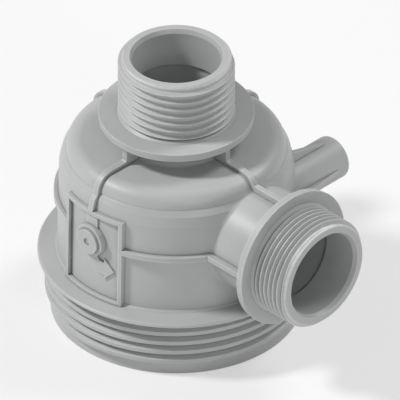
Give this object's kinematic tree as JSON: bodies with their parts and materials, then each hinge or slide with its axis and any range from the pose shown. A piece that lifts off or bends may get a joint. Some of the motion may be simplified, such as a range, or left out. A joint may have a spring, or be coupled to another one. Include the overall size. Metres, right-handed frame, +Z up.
{
  "type": "suction filter housing",
  "caption": "Moulded bell-shaped head of a suction filter with a threaded port on top, one on the side, a ring nut thread round its open base and mounting bosses behind.",
  "frame": {"origin": "on the body axis, in the plane of the bottom rim", "axes": "+Z up along the body axis to the top port, +X along the side port, -Y towards the framed panel, +Y towards the mounting bosses"},
  "size_m": [0.1418, 0.1194, 0.122],
  "materials": {
    "moulded_plastic": "matt as moulded, glass-filled polypropylene",
    "insert_brass": "plain turned brass"
  },
  "bodies": {
    "root": {"housing": "moulded_plastic", "left_mounting_insert": "insert_brass", "right_mounting_insert": "insert_brass"}
  },
  "joints": []
}
